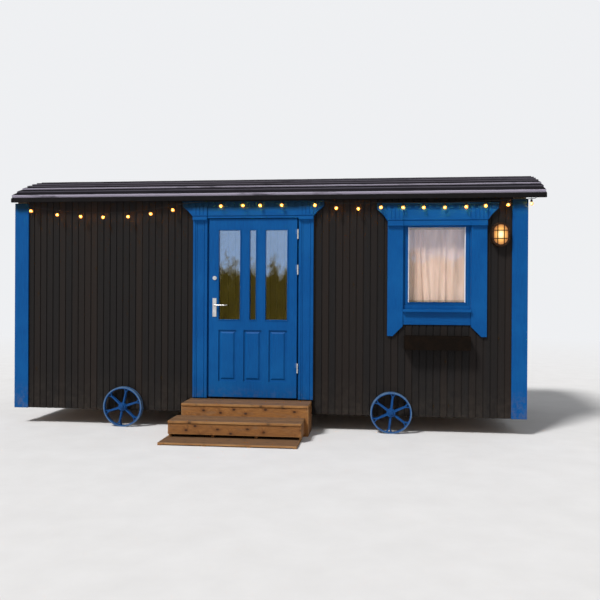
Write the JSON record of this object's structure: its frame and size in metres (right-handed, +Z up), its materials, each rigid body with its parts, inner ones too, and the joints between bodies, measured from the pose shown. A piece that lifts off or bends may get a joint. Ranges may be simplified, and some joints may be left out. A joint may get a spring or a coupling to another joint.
{
  "type": "shepherds hut",
  "caption": "Low wheeled garden cabin with dark board walls, arched roof of lapped boards, blue panelled door, cased window, spoked wheels, box steps and a string of bulbs.",
  "frame": {"origin": "on the ground, in the middle of the whole outline in X and Y, steps included", "axes": "+Z up, +X along the hut's length to the right as seen from the door side, the door side faces -Y"},
  "size_m": [5.985, 3.2976, 2.965],
  "materials": {
    "black_cladding": "dark matt paint on tongue-and-groove boards",
    "floor_boards": "planed softwood boards, clear satin varnish",
    "chassis_steel": "dark primer, slightly rusty",
    "roof_deck_wood": "dark grey paint",
    "roof_board_wood": "dark grey weathered paint with pale worn lower edges",
    "blue_joinery": "bright blue satin exterior paint",
    "satin_steel": "satin",
    "pane_glass": "clear window glass",
    "dark_wood": "dark brown stain",
    "sheer_curtain": "sheer woven voile in soft vertical folds",
    "lamp_bronze": "dark bronze lacquer",
    "lamp_lens": "frosted, lit warm from inside",
    "cable_rubber": "matt black",
    "bulb_glass": "warm lit bulb glass in black holders",
    "step_wood": "oiled softwood with knots and worn edges",
    "blue_iron": "bright blue gloss paint"
  },
  "bodies": {
    "hut": {"front_wall_left": "black_cladding", "front_wall_middle": "black_cladding", "front_wall_right": "black_cladding", "front_wall_under_window": "black_cladding", "front_wall_header": "black_cladding", "front_skirt": "black_cladding", "back_wall": "black_cladding", "left_end_wall": "black_cladding", "right_end_wall": "black_cladding", "floor_deck": "floor_boards", "chassis_rails": "chassis_steel", "axle_left": "chassis_steel", "axle_right": "chassis_steel", "roof_deck": "roof_deck_wood", "roof_boards": "roof_board_wood", "corner_boards": "blue_joinery", "door_jamb_left": "blue_joinery", "door_jamb_right": "blue_joinery", "door_frame_head": "blue_joinery", "door_casings": "blue_joinery", "door_head": "blue_joinery", "window_frame": "blue_joinery", "window_casings": "blue_joinery", "window_head": "blue_joinery", "window_sill": "blue_joinery", "hinge_pins": "satin_steel", "window_glass": "pane_glass", "window_box": "dark_wood", "window_curtain": "sheer_curtain", "lamp_body": "lamp_bronze", "lamp_glass": "lamp_lens", "light_cable": "cable_rubber", "light_bulbs": "bulb_glass", "ground_step": "step_wood", "lower_step": "step_wood", "landing_step": "step_wood"},
    "door": {"door_leaf": "blue_joinery", "door_glass": "pane_glass", "hinge_knuckles": "satin_steel", "handle_plates": "satin_steel"},
    "lever": {"door_lever": "satin_steel"},
    "wheel_front_left": {"wheel_front_left": "blue_iron"},
    "wheel_front_right": {"wheel_front_right": "blue_iron"},
    "wheel_back_left": {"wheel_back_left": "blue_iron"},
    "wheel_back_right": {"wheel_back_right": "blue_iron"}
  },
  "joints": [
    {"name": "door_hinge", "type": "hinge", "parent": "hut", "child": "door", "pos_m": [0.3325, -0.71135, 0.356], "axis": [0, 0, 1], "range_deg": [0, 110]},
    {"name": "lever_turn", "type": "hinge", "parent": "door", "child": "lever", "pos_m": [-0.6085, -0.70335, 1.386], "axis": [0, 1, 0], "range_deg": [0, 45], "stiffness_Nm_per_rad": 3, "springref_deg": -17.19},
    {"name": "front_left_wheel_spin", "type": "hinge", "parent": "hut", "child": "wheel_front_left", "pos_m": [-1.6575, -0.69935, 0.225], "axis": [0, 1, 0], "continuous": true},
    {"name": "front_right_wheel_spin", "type": "hinge", "parent": "hut", "child": "wheel_front_right", "pos_m": [1.3675, -0.69935, 0.225], "axis": [0, 1, 0], "continuous": true},
    {"name": "back_left_wheel_spin", "type": "hinge", "parent": "hut", "child": "wheel_back_left", "pos_m": [-1.6575, 1.55265, 0.225], "axis": [0, 1, 0], "continuous": true},
    {"name": "back_right_wheel_spin", "type": "hinge", "parent": "hut", "child": "wheel_back_right", "pos_m": [1.3675, 1.55265, 0.225], "axis": [0, 1, 0], "continuous": true}
  ]
}
